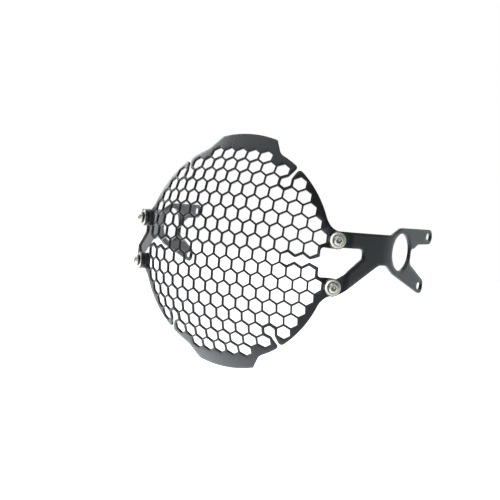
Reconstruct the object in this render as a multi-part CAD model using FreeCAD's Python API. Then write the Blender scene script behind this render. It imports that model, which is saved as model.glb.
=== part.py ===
import FreeCAD, Part
import MeshPart
import math
import os

# A round motorcycle headlight guard: a domed sheet of hexagonal mesh, held in front of the lamp by
# two folded side brackets and four screws. Lengths are in millimetres.
# +X is to the right seen from the front, +Y runs back along the lamp's axis, +Z is up.
# The origin is the foremost point of the dome, on the lamp's axis.

# Sheet and dome. The dome is a shallow crown that turns more tightly towards the rim.
# Radii and tilts are those of the sheet's middle surface; "flat" lengths are measured along the sheet.
sheet = 2.0
crown_radius = 328.0
edge_radius = 96.4
crown_flat = 48.6
edge_flat = 101.6
rim_flat = 98.6
# Pressing the dome draws the edges of the slots and slits together, by these angles in degrees,
# between the flat distances at which each slot or slit begins and at which it is fully drawn in.
side_slot_draw = 0.6
side_slot_draw_from = 56.0
notch_draw = 0.6
peak_draw = 0.86
notch_draw_from = 76.0
full_draw = 98.0

# Mesh: upright-cornered hexagons in staggered rows.
mesh_pitch = 12.5
web = 1.6
edge_web = 2.4
# The number of holes in each row from the middle row outwards, up or down.
row_holes = (9, 14, 15, 14, 13, 12, 7, 8, 5)
# In these rows a hole of its own lies outside an open cell: row number and place in pitches.
lone_holes = ((6, 5.0),)
side_slot_cells = (5, 6, 7)
notch_cell = (4, 6)

# Peaks: plain tabs at the top and bottom, with a shoulder on each side.
peak_flat = 110.0
peak_half_angle = 15.3
peak_corner_radius = 1.2
shoulder_slope = 29.0
shoulder_radius = 10.0

# Slits that run from the corner cells out through the rim. Their middle line passes a little to the
# lug's side of the open cell's centre.
slit_slope = 65.0
slit_width = 4.7
slit_aside = 0.45
slit_overrun = 16.0
slit_foot_radius = 3.0
notch_corner_radius = 2.0
peak_tip_radius = 2.5
side_tip_radius = 3.0

# Lugs at the sides of the panel, one for each screw. They lie in one plane on each side, pressed back
# a little behind the dome.
lug_across = 101.2
lug_up = 21.5
lug_tilt = 39.0
lug_set_back = 1.2
lug_radius = 7.5
lug_fillet = 18.0
lug_blend = 9.0
lug_root_corner = 3.0

# Screws, washers, spacers and press nuts (M5).
screw_radius = 2.5
screw_length = 10.0
head_radius = 4.3
head_height = 2.75
head_side = 0.6
head_top_radius = 2.9
socket_across = 4.0
socket_depth = 1.8
clearance_radius = 2.75
washer_radius = 6.8
washer_bore = 2.65
washer_thick = 1.0
lock_radius = 4.7
lock_bore = 2.6
lock_thick = 1.2
lock_split = 0.8
spacer_radius = 7.2
spacer_thick = 3.0
nut_radius = 3.9
nut_shank_radius = 3.1
nut_shank_short = 0.3
nut_clearance = 0.1
thread_clearance = 0.03
tip_chamfer = 0.5

# Brackets: a plate folded twice. Places along it are measured on its outer face from the front fold,
# and grow backwards; heights are from the lamp's axis.
plate = 3.0
eye_radius = 7.5
eye_to_fold = 11.0
mid_length = 48.8
mid_angle = 16.8
rear_angle = 5.1
rear_length = 82.3
front_fold_radius = 5.0
rear_fold_radius = 80.0
boss_hole_place = 74.0
boss_hole_height = 14.2
boss_hole_radius = 16.5
slot_long = 9.5
slot_high = 6.5
upper_slot_to_end = 6.6
upper_slot_height = 29.95
lower_slot_to_end = 15.1
lower_slot_height = -15.2
tab_half_height = 6.65
tab_corner_radius = 6.0
low_tab_reach = 6.7
low_tab_drop = 9.0
ring_wall = 4.7
ring_back_wall = 1.8
lower_arm_slope = 31.0
# How far the upper arm's top has risen above its eye where it meets the ring's shoulder, and how far
# the two ends of that shoulder lie ahead of the big hole's centre.
arm_rise = 1.0
shoulder_foot_ahead = 18.7
shoulder_top_ahead = 3.0
# The plate's underside between the arms and the ring: its height, and how far its two ends lie ahead
# of the big hole's centre. From it the lower tab's underside falls past a place ahead of and below
# that centre.
waist = 1.6
waist_front_ahead = 34.5
waist_back_ahead = 22.8
belly_ahead = 9.5
belly_drop = 20.1
# The end of the gap between the arms: its place, and the heights of its two corners. The arms' inner
# edges leave the eyes a little inside each eye's circle.
crotch = 18.6
crotch_floor = 6.0
crotch_roof = 14.4
arm_inner_start = 2.0
low_arm_inset = 0.6
high_arm_inset = 1.6
# The gap between the two tabs: places back from the ring, heights from the big hole's centre, and
# drops from the upper tab's underside and from the lower slot.
neck_back = 12.7
neck_drop = 1.2
collar_back = 5.7
collar_rise = 4.0
gap_roof = 3.4
gap_floor = 10.0
low_tab_rise = 4.9
low_tab_lean = 0.4

# How finely the pressed sheet is faceted.
arc_deviation = 0.08
arc_turn = 0.45
longest_facet = 8.0

row_rise = mesh_pitch * math.sqrt(3.0) / 2.0
notch_angle = math.atan2(notch_cell[1] * row_rise, notch_cell[0] * mesh_pitch)


def vector(x, y, z):
    return FreeCAD.Vector(x, y, z)


def dome_profile(flat):
    """Distance from the lamp's axis, depth and tilt of the middle surface at a flat distance."""
    crown_turn = min(flat, crown_flat) / crown_radius
    across = crown_radius * math.sin(crown_turn)
    depth = crown_radius * (1.0 - math.cos(crown_turn))
    edge_run = min(max(flat - crown_flat, 0.0), edge_flat - crown_flat)
    tilt = crown_turn + edge_run / edge_radius
    across += edge_radius * (math.sin(tilt) - math.sin(crown_turn))
    depth += edge_radius * (math.cos(crown_turn) - math.cos(tilt))
    straight = max(flat - edge_flat, 0.0)
    across += straight * math.cos(tilt)
    depth += straight * math.sin(tilt)
    return across, depth, tilt


def ease(value):
    """A smooth step from 0 to 1."""
    share = min(max(value, 0.0), 1.0)
    return share * share * (3.0 - 2.0 * share)


def drawn_angle(flat, angle):
    """The angle of a point after pressing: slot and slit edges have moved towards each other."""
    slot_share = ease((flat - side_slot_draw_from) / (full_draw - side_slot_draw_from))
    slit_share = ease((flat - notch_draw_from) / (full_draw - notch_draw_from))
    half_turn = angle % math.pi
    folded = min(half_turn, math.pi - half_turn)
    sign = 1.0 if half_turn <= math.pi / 2.0 else -1.0
    if folded <= notch_angle:
        share = folded / notch_angle
        move = notch_draw * slit_share * share - side_slot_draw * slot_share * (1.0 - share)
    else:
        share = (math.pi / 2.0 - folded) / (math.pi / 2.0 - notch_angle)
        move = -peak_draw * slit_share * share
    return angle + sign * math.radians(move)


def on_dome(across, up):
    """Place and front normal of the middle surface for a point of the flat blank."""
    flat = math.hypot(across, up)
    angle = drawn_angle(flat, math.atan2(up, across))
    radius, depth, tilt = dome_profile(flat)
    out = vector(math.cos(angle), 0.0, math.sin(angle))
    place = out * radius + vector(0.0, depth + sheet / 2.0, 0.0)
    normal = out * math.sin(tilt) + vector(0.0, -math.cos(tilt), 0.0)
    return place, normal


def lug_frame(side, level):
    """Centre of a lug's middle plane, its front normal and the direction outwards along it."""
    tilt = math.radians(lug_tilt)
    place = on_dome(lug_across, lug_up)[0]
    normal = vector(side * math.sin(tilt), -math.cos(tilt), 0.0)
    centre = vector(side * place.x, place.y, level * place.z) - normal * lug_set_back
    along = vector(side * math.cos(tilt), math.sin(tilt), 0.0)
    return centre, normal, along


def pressed(across, up):
    """Place and front normal in the formed sheet: the dome, eased into a flat seat at each lug."""
    place, normal = on_dome(across, up)
    side = 1.0 if across > 0.0 else -1.0
    level = 1.0 if up > 0.0 else -1.0
    right = across - side * lug_across
    rise = up - level * lug_up
    share = ease((math.hypot(right, rise) - lug_radius) / lug_blend)
    if share < 1.0:
        centre, seat_normal, along = lug_frame(side, level)
        seat = centre + along * (side * right) + vector(0.0, 0.0, rise)
        place = seat * (1.0 - share) + place * share
        normal = seat_normal * (1.0 - share) + normal * share
        normal.normalize()
    return place, normal


def rounded_face(corners):
    """A flat face from corners, each given as across, up and the radius that rounds it."""
    places = [vector(across, up, 0.0) for across, up, radius in corners]
    bends = []
    for k, corner in enumerate(corners):
        here = places[k]
        back = (places[k - 1] - here).normalize()
        ahead = (places[(k + 1) % len(places)] - here).normalize()
        half = back.getAngle(ahead) / 2.0
        radius = corner[2]
        reach = radius / math.tan(half)
        middle = here
        if radius > 0.0:
            middle = here + (back + ahead).normalize() * (radius / math.sin(half) - radius)
        bends.append((here + back * reach, middle, here + ahead * reach, radius))
    edges = []
    for k, (first, middle, last, radius) in enumerate(bends):
        if bends[k - 1][2].distanceToPoint(first) > 1e-6:
            edges.append(Part.makeLine(bends[k - 1][2], first))
        if radius > 0.0:
            edges.append(Part.Arc(first, middle, last).toShape())
    return Part.Face(Part.Wire(edges))


def stamp(corners):
    """A flat outline as a prism one sheet thick and more, to add to or cut from the flat blank."""
    return rounded_face(corners).extrude(vector(0.0, 0.0, sheet))


def disc(across, up, radius):
    return Part.makeCylinder(radius, sheet, vector(across, up, 0.0))


def in_quarters(shape):
    """A shape of the right upper quarter, and its three mirror images."""
    origin = vector(0.0, 0.0, 0.0)
    across = shape.mirror(origin, vector(1.0, 0.0, 0.0))
    pair = [shape, across]
    return pair + [item.mirror(origin, vector(0.0, 1.0, 0.0)) for item in pair]


def hexagon(across, up, half_width):
    """Corners of an upright-cornered hexagon of a given half width across its flats."""
    corner = half_width / math.cos(math.pi / 6.0)
    turns = [math.pi / 6.0 + k * math.pi / 3.0 for k in range(6)]
    return [(across + corner * math.cos(t), up + corner * math.sin(t), 0.0) for t in turns]


def hole_centres():
    """Flat places of the closed mesh holes."""
    centres = []
    for row, count in enumerate(row_holes):
        for sign in ((1,) if row == 0 else (1, -1)):
            for k in range(count):
                centres.append(((k - (count - 1) / 2.0) * mesh_pitch, sign * row * row_rise))
    for row, place in lone_holes:
        for side in (1, -1):
            for sign in (1, -1):
                centres.append((side * place * mesh_pitch, sign * row * row_rise))
    return centres


def side_slot():
    """The right zigzag slot along the middle row, from its inner cell out between the lugs."""
    inset = edge_web - web / 2.0
    corner = mesh_pitch / math.sqrt(3.0)
    lift = corner - inset / math.cos(math.pi / 6.0)
    dip = corner / 2.0 - inset / math.cos(math.pi / 6.0)
    inner = (side_slot_cells[0] - 0.5) * mesh_pitch + web / 2.0
    upper = [(inner, corner / 2.0 - web / 2.0 * math.tan(math.pi / 6.0), 0.0)]
    for cell in side_slot_cells:
        upper.append((cell * mesh_pitch, lift, 0.0))
        upper.append(((cell + 0.5) * mesh_pitch, dip, 0.0))
    outer = side_slot_cells[-1] * mesh_pitch + inset
    edge = lug_up - lug_radius
    upper[-2:] = [(outer, lift, 0.0), (outer, edge, lug_root_corner)]
    upper.append((lug_across + 2.0 * lug_radius, edge, 0.0))
    return stamp(upper + [(across, -up, radius) for across, up, radius in reversed(upper)])


def open_cell():
    """The open corner cell, which keeps a wider web all round than the closed holes do."""
    half_width = (mesh_pitch + web) / 2.0 - edge_web
    return hexagon(notch_cell[0] * mesh_pitch, notch_cell[1] * row_rise, half_width)


def slit_feet():
    """Where the slit's two edges leave the open cell, on the peak's side and on the lug's side.

    The cell's upper left side and its right side run straight on until they meet the slit's edges.
    """
    cell = open_cell()
    centre = (notch_cell[0] * mesh_pitch, notch_cell[1] * row_rise)
    slope = math.radians(slit_slope)
    square = (-math.sin(slope), math.cos(slope))
    peak_side = slit_width / 2.0 - slit_aside
    lug_side = -slit_width / 2.0 - slit_aside
    lean = math.pi / 6.0
    start = (cell[2][0] - centre[0], cell[2][1] - centre[1])
    run = (peak_side - start[0] * square[0] - start[1] * square[1]) / (
        math.cos(lean) * square[0] + math.sin(lean) * square[1])
    peak_foot = (cell[2][0] + run * math.cos(lean), cell[2][1] + run * math.sin(lean))
    rise = (lug_side - (cell[0][0] - centre[0]) * square[0]) / square[1]
    return peak_foot, (cell[0][0], centre[1] + rise)


def corner_notch():
    """The open corner cell with the slit that runs from it between a peak petal and a side petal."""
    cell = open_cell()
    slope = math.radians(slit_slope)
    run = (slit_overrun * math.cos(slope), slit_overrun * math.sin(slope))
    peak_foot, lug_foot = slit_feet()
    corners = [(lug_foot[0] + run[0], lug_foot[1] + run[1], 0.0), lug_foot + (slit_foot_radius,)]
    corners += [cell[k][:2] + (notch_corner_radius,) for k in (5, 4, 3, 2)]
    corners += [peak_foot + (slit_foot_radius,), (peak_foot[0] + run[0], peak_foot[1] + run[1], 0.0)]
    return stamp(corners)


def crossing(start, slope, radius, last):
    """Where a line from a place at a slope crosses a circle about the centre, first or last."""
    along = (math.cos(slope), math.sin(slope))
    middle = -(start[0] * along[0] + start[1] * along[1])
    chord = math.sqrt(middle ** 2 - start[0] ** 2 - start[1] ** 2 + radius ** 2)
    reach = middle + chord if last else middle - chord
    return start[0] + along[0] * reach, start[1] + along[1] * reach


def rounded_uprights(solid, place, radius):
    """Round the blank's upright edges at a place and at its mirror images."""
    edges = []
    for edge in solid.Edges:
        ends = [vertex.Point for vertex in edge.Vertexes]
        if len(ends) < 2 or abs(ends[0].z - ends[1].z) < sheet / 2.0:
            continue
        if math.hypot(abs(ends[0].x) - place[0], abs(ends[0].y) - place[1]) < 0.01:
            edges.append(edge)
    return solid.makeFillet(radius, edges)


def lug_meets_rim():
    """The flat place above a lug's eye where its circle crosses the rim."""
    span = math.hypot(lug_across, lug_up)
    along = (rim_flat ** 2 - lug_radius ** 2 + span ** 2) / (2.0 * span)
    square = math.sqrt(rim_flat ** 2 - along ** 2)
    unit = (lug_across / span, lug_up / span)
    return along * unit[0] - square * unit[1], along * unit[1] + square * unit[0]


def flat_blank():
    """The panel cut out and not yet pressed: disc, peaks and lugs, less slots, slits and holes."""
    corner_turn = math.radians(90.0 - peak_half_angle)
    corner = (peak_flat * math.cos(corner_turn), peak_flat * math.sin(corner_turn))
    side_slope = math.radians(shoulder_slope - 90.0)
    foot = crossing(corner, side_slope, rim_flat, False)
    # The peak's stamp starts inside the rim and ends beyond the brow, where the brow's circle trims it.
    sunk = 0.97
    overrun = 1.1
    beyond = (foot[0] * sunk, foot[1] * sunk, 0.0)
    brow = (corner[0] * overrun, corner[1] * overrun, 0.0)
    half = [brow, corner + (0.0,), foot + (0.0,), beyond]
    other = [(-across, up, radius) for across, up, radius in reversed(half)]
    peak = stamp(half + other).common(disc(0.0, 0.0, peak_flat))
    floor = lug_up - lug_radius
    root = stamp([(lug_across, floor, 0.0), (lug_across, lug_up, 0.0),
                  (lug_across - 2.0 * lug_radius, lug_up, 0.0),
                  (lug_across - 2.0 * lug_radius, floor, 0.0)])
    eyes = in_quarters(disc(lug_across, lug_up, lug_radius))
    blank = disc(0.0, 0.0, rim_flat)
    blank = blank.fuse(in_quarters(peak)[::2] + eyes + in_quarters(root)).removeSplitter()
    blank = rounded_uprights(blank, lug_meets_rim(), lug_fillet)
    blank = rounded_uprights(blank, foot, shoulder_radius)
    blank = rounded_uprights(blank, corner, peak_corner_radius)
    blank = blank.cut(in_quarters(side_slot())[:2] + in_quarters(corner_notch()))
    peak_foot, side_foot = slit_feet()
    slope = math.radians(slit_slope)
    blank = rounded_uprights(blank, crossing(peak_foot, slope, rim_flat, True), peak_tip_radius)
    blank = rounded_uprights(blank, crossing(side_foot, slope, rim_flat, True), side_tip_radius)
    half_width = (mesh_pitch - web) / 2.0
    cuts = [stamp(hexagon(across, up, half_width)) for across, up in hole_centres()]
    press_hole = nut_shank_radius + nut_clearance
    cuts += in_quarters(disc(lug_across, lug_up, press_hole))
    under = [face for face in blank.cut(cuts).Faces if face.CenterOfMass.z < sheet / 4.0]
    # Each eye keeps its own outline in the blank, so that its seat is pressed quite flat.
    rings = []
    for eye in eyes:
        middle = vector(eye.CenterOfMass.x, eye.CenterOfMass.y, 0.0)
        circles = [Part.makeCircle(radius, middle) for radius in (lug_radius, press_hole)]
        wires = [Part.Wire([circle]) for circle in circles]
        rings.append(Part.Face(wires, "Part::FaceMakerBullseye"))
    return under[0].fuse(rings)


def facets_of(blank):
    """The blank as shared points and triangles, with no edge too long to bend well."""
    mesh = MeshPart.meshFromShape(Shape=blank, LinearDeflection=arc_deviation,
                                  AngularDeflection=arc_turn, Relative=False)
    places, triangles = mesh.Topology
    numbers = {}
    points = []
    merged = []
    for place in places:
        key = (round(place.x, 4), round(place.y, 4))
        if key not in numbers:
            numbers[key] = len(points)
            points.append((place.x, place.y))
        merged.append(numbers[key])
    todo = [tuple(merged[n] for n in triangle) for triangle in triangles]
    middles = {}
    done = []
    while todo:
        a, b, c = todo.pop()
        long_edges = []
        for first, last in ((a, b), (b, c), (c, a)):
            length = math.dist(points[first], points[last])
            long_edges.append((length, min(first, last), max(first, last)))
        length, first, last = max(long_edges)
        if length <= longest_facet:
            done.append((a, b, c))
            continue
        if (first, last) not in middles:
            middles[(first, last)] = len(points)
            points.append(((points[first][0] + points[last][0]) / 2.0,
                           (points[first][1] + points[last][1]) / 2.0))
        middle = middles[(first, last)]
        for k, (start, end, far) in enumerate(((a, b, c), (b, c, a), (c, a, b))):
            if {start, end} == {first, last}:
                todo += [(start, middle, far), (middle, end, far)]
                break
    return points, done


def guard_panel():
    """The domed mesh panel: the blank pressed to the dome, with its two skins and its cut edges."""
    points, triangles = facets_of(flat_blank())
    fronts = []
    backs = []
    for across, up in points:
        place, normal = pressed(across, up)
        fronts.append(place + normal * (sheet / 2.0))
        backs.append(place - normal * (sheet / 2.0))
    count = len(points)
    facets = []
    walls = {}
    for a, b, c in triangles:
        turn = (points[b][0] - points[a][0]) * (points[c][1] - points[a][1])
        turn -= (points[c][0] - points[a][0]) * (points[b][1] - points[a][1])
        if turn < 0.0:
            b, c = c, b
        facets.append((a, b, c))
        facets.append((a + count, c + count, b + count))
        for first, last in ((a, b), (b, c), (c, a)):
            if (last, first) in walls:
                del walls[(last, first)]
            else:
                walls[(first, last)] = True
    for first, last in walls:
        facets.append((first, last + count, last))
        facets.append((first, first + count, last + count))
    shell = Part.Shape()
    shell.makeShapeFromMesh((fronts + backs, facets), 0.0001)
    return Part.Solid(Part.Shell(shell.Faces))


def flat_disc(across, up, radius):
    circle = Part.makeCircle(radius, vector(across, up, 0.0))
    return Part.Face(Part.Wire([circle]))


def flat_slot(across, up):
    """A round-ended slot, longer across than it is high."""
    wide = slot_long / 2.0
    high = slot_high / 2.0
    turns = ((-wide, -high), (wide, -high), (wide, high), (-wide, high))
    return rounded_face([(across + x, up + y, high) for x, y in turns])


def bracket_outline(eye_level):
    """The bracket's plate laid flat: distance back from the front fold, and height.

    Two arms run back from the eyes, join in front of the big ring and split again into two slotted
    tabs behind it.
    """
    rear = mid_length + rear_length
    eye = -eye_to_fold
    arm_top = eye_level + eye_radius
    ring_top = boss_hole_height + boss_hole_radius + ring_wall
    ring_back = boss_hole_place + boss_hole_radius + ring_back_wall
    tab_top = upper_slot_height + tab_half_height
    tab_floor = upper_slot_height - tab_half_height
    lower_slot = rear - lower_slot_to_end
    low_front = lower_slot + low_tab_reach
    low_floor = lower_slot_height - low_tab_drop
    # The lower arm's underside leaves the lower eye as a tangent, at the arm's own slope.
    slope = math.radians(lower_arm_slope)
    leave = (eye + eye_radius * math.sin(slope), -eye_level - eye_radius * math.cos(slope), 0.0)
    corners = [(eye, arm_top, 0.0), (boss_hole_place - shoulder_foot_ahead, arm_top + arm_rise, 20.0)]
    corners += [(boss_hole_place - shoulder_top_ahead, ring_top, 15.0), (rear, tab_top, tab_corner_radius)]
    corners += [(rear, tab_floor, tab_corner_radius), (ring_back + neck_back, tab_floor - neck_drop, 6.0)]
    corners += [(ring_back + collar_back, boss_hole_height + collar_rise, 4.0)]
    corners += [(ring_back, boss_hole_height + gap_roof, 3.0), (ring_back, boss_hole_height - gap_floor, 5.0)]
    corners += [(low_front, lower_slot_height + low_tab_rise, 5.0), (low_front + low_tab_lean, low_floor, 5.5)]
    corners += [(boss_hole_place - belly_ahead, boss_hole_height - belly_drop, 12.0)]
    corners += [(boss_hole_place - waist_back_ahead, waist, 8.0)]
    corners += [(boss_hole_place - waist_front_ahead, waist, 10.0), leave, (eye, -eye_level, 0.0)]
    corners += [(eye + arm_inner_start, -eye_level + eye_radius - low_arm_inset, 0.0)]
    corners += [(crotch, crotch_floor, 4.5), (crotch, crotch_roof, 5.0)]
    corners += [(eye + arm_inner_start, eye_level - eye_radius + high_arm_inset, 0.0), (eye, eye_level, 0.0)]
    eyes = [flat_disc(eye, level * eye_level, eye_radius) for level in (1, -1)]
    bores = [flat_disc(eye, level * eye_level, clearance_radius) for level in (1, -1)]
    bores.append(flat_disc(boss_hole_place, boss_hole_height, boss_hole_radius))
    bores.append(flat_slot(rear - upper_slot_to_end, upper_slot_height))
    bores.append(flat_slot(lower_slot, lower_slot_height))
    return rounded_face(corners).fuse(eyes).removeSplitter().cut(bores)


def heading(angle):
    """The direction of a stretch of the bracket seen from above; the angle is turned from +Y to +X."""
    return vector(math.sin(math.radians(angle)), math.cos(math.radians(angle)), 0.0)


def outward_of(along):
    return vector(along.y, -along.x, 0.0)


def right_bracket():
    """The right bracket: its outline, stretch by stretch, kept from the plate folded in plan."""
    centre, normal, along = lug_frame(1, 1)
    eye = centre + normal * (sheet / 2.0 + spacer_thick + plate)
    eye.z = 0.0
    headings = (along, heading(mid_angle), heading(rear_angle))
    front_fold = eye + along * eye_to_fold
    rear_fold = front_fold + headings[1] * mid_length
    rear_end = rear_fold + headings[2] * (rear_length + plate)
    start = eye - along * (2.0 * eye_radius)
    outer = [(start, 0.0), (front_fold, front_fold_radius + plate)]
    outer += [(rear_fold, rear_fold_radius + plate), (rear_end, 0.0)]
    squares = [outward_of(item) for item in headings]
    pairs = ((0, 0), (0, 1), (1, 2), (2, 2))
    inner = []
    for (place, radius), (before, after) in zip(outer, pairs):
        both = squares[before] + squares[after]
        shift = both * (plate / (1.0 + squares[before].dot(squares[after])))
        inner.append((place - shift, max(radius - plate, 0.0)))
    plan = rounded_face([(place.x, place.y, radius) for place, radius in outer + inner[::-1]])
    tall = 2.0 * (upper_slot_height + tab_half_height)
    strip = plan.extrude(vector(0.0, 0.0, 2.0 * tall))
    strip.translate(vector(0.0, 0.0, -tall))
    outline = bracket_outline(centre.z)
    stretches = ((front_fold, 0.0, -2.0 * eye_to_fold, 0.0), (front_fold, 0.0, 0.0, mid_length),
                 (rear_fold, mid_length, mid_length, mid_length + rear_length + plate))
    prisms = []
    for (fold, fold_place, begin, end), way, square in zip(stretches, headings, squares):
        window = rounded_face([(begin, -tall, 0.0), (end, -tall, 0.0), (end, tall, 0.0), (begin, tall, 0.0)])
        prism = outline.common(window).extrude(vector(0.0, 0.0, 3.0 * plate))
        base = fold - way * fold_place - square * (2.0 * plate)
        matrix = FreeCAD.Matrix(way.x, 0.0, square.x, base.x, way.y, 0.0, square.y, base.y,
                                0.0, 1.0, 0.0, 0.0, 0.0, 0.0, 0.0, 1.0)
        prism.Placement = FreeCAD.Placement(matrix)
        prisms.append(prism)
    folded = strip.common(prisms[0].fuse(prisms[1:]))
    return folded.removeSplitter().Solids[0]


def screw():
    """A socket screw with a low domed head: the head stands on the plane Z = 0, the shank below."""
    high = vector(head_top_radius, 0.0, head_height)
    side = vector(head_radius, 0.0, head_side)
    lean = math.radians(45.0)
    bulge = vector(high.x + (side.x - high.x) * math.sin(lean),
                   0.0, side.z + (high.z - side.z) * math.cos(lean))
    corners = [high, vector(0.0, 0.0, head_height), vector(0.0, 0.0, -screw_length)]
    corners += [vector(screw_radius - tip_chamfer, 0.0, -screw_length)]
    corners += [vector(screw_radius, 0.0, tip_chamfer - screw_length)]
    corners += [vector(screw_radius, 0.0, 0.0), vector(head_radius, 0.0, 0.0), side]
    edges = [Part.makeLine(first, last) for first, last in zip(corners, corners[1:])]
    edges.append(Part.Arc(side, bulge, high).toShape())
    solid = Part.Face(Part.Wire(edges)).revolve(vector(0.0, 0.0, 0.0), vector(0.0, 0.0, 1.0), 360.0)
    socket = rounded_face(hexagon(0.0, 0.0, socket_across / 2.0)).extrude(vector(0.0, 0.0, head_height))
    socket.translate(vector(0.0, 0.0, head_height - socket_depth))
    return solid.cut(socket)


def ring(radius, bore, thick):
    return Part.makeCylinder(radius, thick).cut(Part.makeCylinder(bore, thick))


def lock_washer():
    """A spring washer: a flat ring with one narrow split."""
    split = Part.makeBox(lock_radius, lock_split, lock_thick, vector(0.0, -lock_split / 2.0, 0.0))
    return ring(lock_radius, lock_bore, lock_thick).cut(split)


def press_nut():
    """A round press nut: its body stands on the plane Z = 0, its shank reaches down into the lug."""
    shank = Part.makeCylinder(nut_shank_radius, sheet - nut_shank_short,
                              vector(0.0, 0.0, nut_shank_short - sheet))
    body = Part.makeCylinder(nut_radius, spacer_thick).fuse(shank)
    thread = Part.makeCylinder(screw_radius + thread_clearance, spacer_thick + sheet, vector(0.0, 0.0, -sheet))
    return body.cut(thread).removeSplitter()


pieces = {"guard_panel": guard_panel(), "bracket_right": right_bracket()}
pieces["bracket_left"] = pieces["bracket_right"].mirror(vector(0.0, 0.0, 0.0), vector(1.0, 0.0, 0.0))

# Each screw's stack, as the distance of every piece from the lug's middle plane, outwards.
face = sheet / 2.0
seat = face + spacer_thick + plate
stack = {
    "press_nut": (press_nut(), face),
    "spacer": (ring(spacer_radius, nut_radius + nut_clearance, spacer_thick), face),
    "washer": (ring(washer_radius, washer_bore, washer_thick), seat),
    "lock_washer": (lock_washer(), seat + washer_thick),
    "screw": (screw(), seat + washer_thick + lock_thick),
}
for side, side_name in ((1, "right"), (-1, "left")):
    for level, level_name in ((1, "upper"), (-1, "lower")):
        centre, normal, along = lug_frame(side, level)
        turn = FreeCAD.Rotation(vector(0.0, 0.0, 1.0), normal)
        for name, (shape, distance) in stack.items():
            piece = shape.copy()
            piece.Placement = FreeCAD.Placement(centre + normal * distance, turn)
            pieces[name + "_" + side_name + "_" + level_name] = piece

os.makedirs("parts", exist_ok=True)
for name, piece in pieces.items():
    piece.exportStep("parts/" + name + ".step")
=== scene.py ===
import math
import bpy
import numpy as np
from mathutils import Matrix, Vector
from mathutils.geometry import delaunay_2d_cdt


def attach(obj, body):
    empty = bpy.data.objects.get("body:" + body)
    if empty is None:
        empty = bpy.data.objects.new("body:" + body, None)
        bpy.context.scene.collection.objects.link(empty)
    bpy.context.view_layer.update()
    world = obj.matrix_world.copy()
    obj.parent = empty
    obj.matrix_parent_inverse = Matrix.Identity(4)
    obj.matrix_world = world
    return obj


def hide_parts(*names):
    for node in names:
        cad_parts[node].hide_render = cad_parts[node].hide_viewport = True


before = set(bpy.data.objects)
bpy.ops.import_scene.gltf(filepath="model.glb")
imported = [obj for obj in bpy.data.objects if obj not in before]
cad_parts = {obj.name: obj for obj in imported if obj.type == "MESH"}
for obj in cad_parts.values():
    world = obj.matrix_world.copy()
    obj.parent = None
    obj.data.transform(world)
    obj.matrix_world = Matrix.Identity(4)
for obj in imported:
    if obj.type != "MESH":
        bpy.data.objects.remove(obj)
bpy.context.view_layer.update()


# The mesh panel. One sheet of steel, laser cut as a flat disc with hexagonal holes, side slots, four
# slits, two plain peaks and four lugs, then pressed to a dome that turns more tightly near its rim.
mm = 0.001
sheet = 2.0
crown_radius = 328.0
edge_radius = 96.4
crown_flat = 48.6
edge_flat = 101.6
rim = 98.6
side_slot_draw = 0.6
side_slot_draw_from = 56.0
notch_draw = 0.6
peak_draw = 0.86
notch_draw_from = 76.0
full_draw = 98.0
pitch = 12.5
row_rise = pitch * math.sqrt(3.0) / 2.0
web = 1.6
edge_web = 2.4
hole_corner = 0.5
side_slot_corner = 0.9
side_slot_end_corner = 0.6
sheet_edge = 0.3
sheet_grain = 2.6
outline_step = 2.4
row_holes = (9, 14, 15, 14, 13, 12, 7, 8, 5)
peak = 110.0
peak_half_angle = math.radians(15.3)
peak_corner_radius = 1.2
shoulder_slope = math.radians(29.0)
shoulder_radius = 10.0
slit_slope = math.radians(65.0)
slit_width = 4.7
slit_aside = 0.45
slit_foot_radius = 3.0
notch_corner_radius = 2.0
peak_tip_radius = 2.5
side_tip_radius = 3.0
lug_across = 101.2
lug_up = 21.5
lug_tilt = math.radians(39.0)
lug_set_back = 1.2
lug_radius = 7.5
lug_fillet = 18.0
lug_blend = 9.0
lug_root_corner = 3.0
lug_bore = 3.2
notch_cell = (4.0 * pitch, 6.0 * row_rise)
notch_angle = math.atan2(notch_cell[1], notch_cell[0])


def smooth_step(value):
    """3 t squared less 2 t cubed, with t held between 0 and 1."""
    t = np.clip(value, 0.0, 1.0)
    return t * t * (3.0 - 2.0 * t)


def dome(u, v):
    """Middle surface of the dome over a flat point: an arc of crown_radius, then one of edge_radius.

    The flat distance from the centre is the length of the arcs. The flat angle is kept, apart from the
    edges of slots and slits, which pressing has drawn together.
    """
    flat = np.hypot(u, v)
    angle = np.arctan2(v, u)
    half_turn = np.mod(angle, math.pi)
    folded = np.minimum(half_turn, math.pi - half_turn)
    sign = np.where(half_turn <= math.pi / 2.0, 1.0, -1.0)
    slot_share = smooth_step((flat - side_slot_draw_from) / (full_draw - side_slot_draw_from))
    slit_share = smooth_step((flat - notch_draw_from) / (full_draw - notch_draw_from))
    low = folded / notch_angle
    high = (math.pi / 2.0 - folded) / (math.pi / 2.0 - notch_angle)
    low_move = notch_draw * slit_share * low - side_slot_draw * slot_share * (1.0 - low)
    move = np.where(folded <= notch_angle, low_move, -peak_draw * slit_share * high)
    angle = angle + sign * np.radians(move)
    crown_turn = np.minimum(flat, crown_flat) / crown_radius
    tilt = crown_turn + np.clip(flat - crown_flat, 0.0, edge_flat - crown_flat) / edge_radius
    straight = np.maximum(flat - edge_flat, 0.0)
    across = crown_radius * np.sin(crown_turn) + edge_radius * (np.sin(tilt) - np.sin(crown_turn))
    across = across + straight * np.cos(tilt)
    depth = crown_radius * (1.0 - np.cos(crown_turn)) + edge_radius * (np.cos(crown_turn) - np.cos(tilt))
    depth = depth + straight * np.sin(tilt) + sheet / 2.0
    place = np.stack([across * np.cos(angle), depth, across * np.sin(angle)], 1)
    normal = np.stack([np.sin(tilt) * np.cos(angle), -np.cos(tilt), np.sin(tilt) * np.sin(angle)], 1)
    return place, normal


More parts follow.
